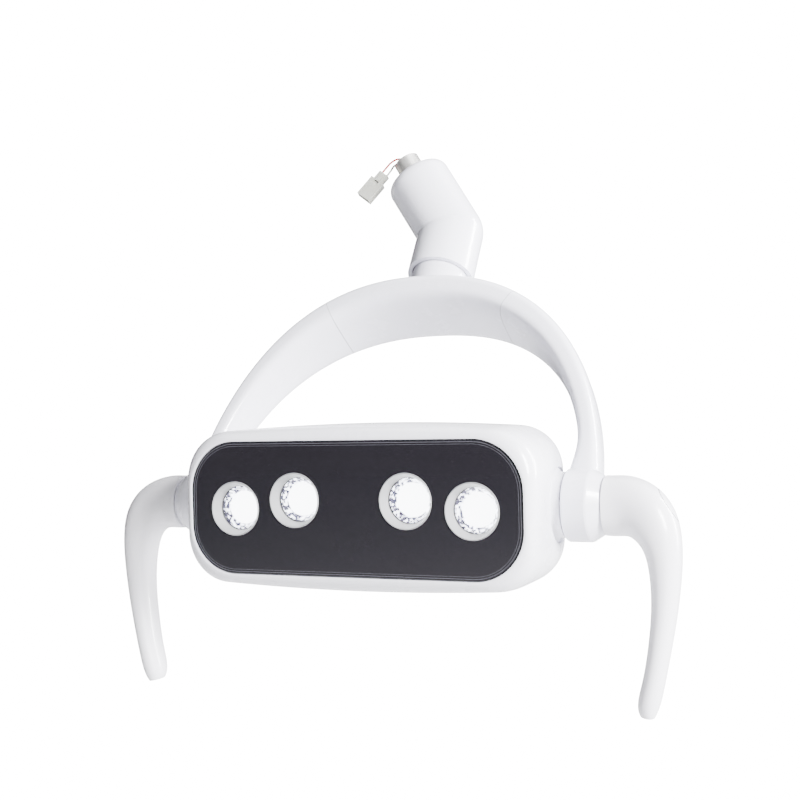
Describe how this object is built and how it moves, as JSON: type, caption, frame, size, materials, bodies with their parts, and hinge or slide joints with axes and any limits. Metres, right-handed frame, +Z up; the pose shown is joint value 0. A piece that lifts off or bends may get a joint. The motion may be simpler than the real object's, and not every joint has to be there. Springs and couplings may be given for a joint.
{
  "type": "dental operating light",
  "caption": "Dental operating light: a wide lamp head with LED spots behind a dark panel, side handles, an arched yoke and an angled swivel elbow with a plug-in spigot.",
  "frame": {"origin": "on the axis of the arm spigot, where it leaves the elbow", "axes": "X along the lamp head, to the right seen from the front; -Y is the way the light shines; +Z up"},
  "size_m": [0.4315, 0.2405, 0.4222],
  "materials": {
    "casing_white": "gloss",
    "handle_white": "satin",
    "yoke_white": "gloss",
    "panel_black": "gloss",
    "ring_white": "satin",
    "lens_clear": "clear",
    "reflector_silver": "mirror",
    "led_board": "satin",
    "plate_metal": "brushed",
    "board_green": "satin",
    "parts_dark": "satin",
    "steel": "brushed",
    "spigot_steel": "brushed",
    "bush_cream": "satin",
    "rubber_grey": "matte",
    "wire_red": "satin",
    "wire_grey": "satin",
    "cable_grey": "matte",
    "connector_cream": "satin",
    "brass_pins": "satin"
  },
  "bodies": {
    "arm_side": {"arm_spigot": "spigot_steel", "spigot_ring": "steel", "wire_grommet": "rubber_grey", "lead_red": "wire_red", "lead_grey": "wire_grey", "connector_plug": "connector_cream", "connector_housing": "connector_cream", "connector_pins": "brass_pins"},
    "elbow": {"elbow_shell": "yoke_white", "neck_bush": "bush_cream", "neck_washer": "bush_cream", "spigot_bush": "bush_cream", "spigot_washer": "bush_cream"},
    "yoke": {"yoke_bridge": "yoke_white", "yoke_arm_left": "yoke_white", "yoke_arm_right": "yoke_white", "joiners": "plate_metal", "joiner_screws": "steel", "pivot_tube": "steel", "neck_nut": "steel", "hub_bushes": "bush_cream", "friction_washers": "bush_cream", "yoke_cable": "cable_grey"},
    "head": {"front_casing": "casing_white", "rear_casing": "casing_white", "casing_screws": "steel", "face_panel": "panel_black", "panel_gasket": "rubber_grey", "lamp_ring_1": "ring_white", "lens_1": "lens_clear", "reflector_1": "reflector_silver", "lamp_ring_2": "ring_white", "lens_2": "lens_clear", "reflector_2": "reflector_silver", "lamp_ring_3": "ring_white", "lens_3": "lens_clear", "reflector_3": "reflector_silver", "lamp_ring_4": "ring_white", "lens_4": "lens_clear", "reflector_4": "reflector_silver", "lamp_modules": "led_board", "lamp_carrier": "plate_metal", "heat_sink": "plate_metal", "board_standoffs": "steel", "driver_board": "board_green", "driver_parts": "parts_dark", "board_screws": "steel", "boss_left": "casing_white", "boss_right": "casing_white", "trunnions": "steel", "flange_screws": "steel", "disc_springs": "steel", "tilt_nuts": "steel", "handle_left": "handle_white", "handle_right": "handle_white", "handle_screws": "steel", "handle_cap": "handle_white", "button_spring": "steel", "switch_body": "parts_dark"},
    "button": {"power_button": "handle_white"}
  },
  "joints": [
    {"name": "arm_swivel", "type": "hinge", "parent": "arm_side", "child": "elbow", "pos_m": [0, 0, 0], "axis": [-0.53, 0.0591, 0.8459], "range_deg": [-160, 160]},
    {"name": "yoke_swivel", "type": "hinge", "parent": "elbow", "child": "yoke", "pos_m": [0.03329, -0.00371, -0.05312], "axis": [0, 0.565, 0.8251], "range_deg": [-160, 160]},
    {"name": "head_tilt", "type": "hinge", "parent": "yoke", "child": "head", "pos_m": [0.03329, -0.15676, -0.26586], "axis": [1, 0, 0], "range_deg": [-35, 90]},
    {"name": "power_press", "type": "slide", "parent": "head", "child": "button", "axis": [-0.9205, 0, -0.3907], "range_m": [0, 0.0015], "stiffness_N_per_m": 600, "springref_m": -0.002}
  ]
}
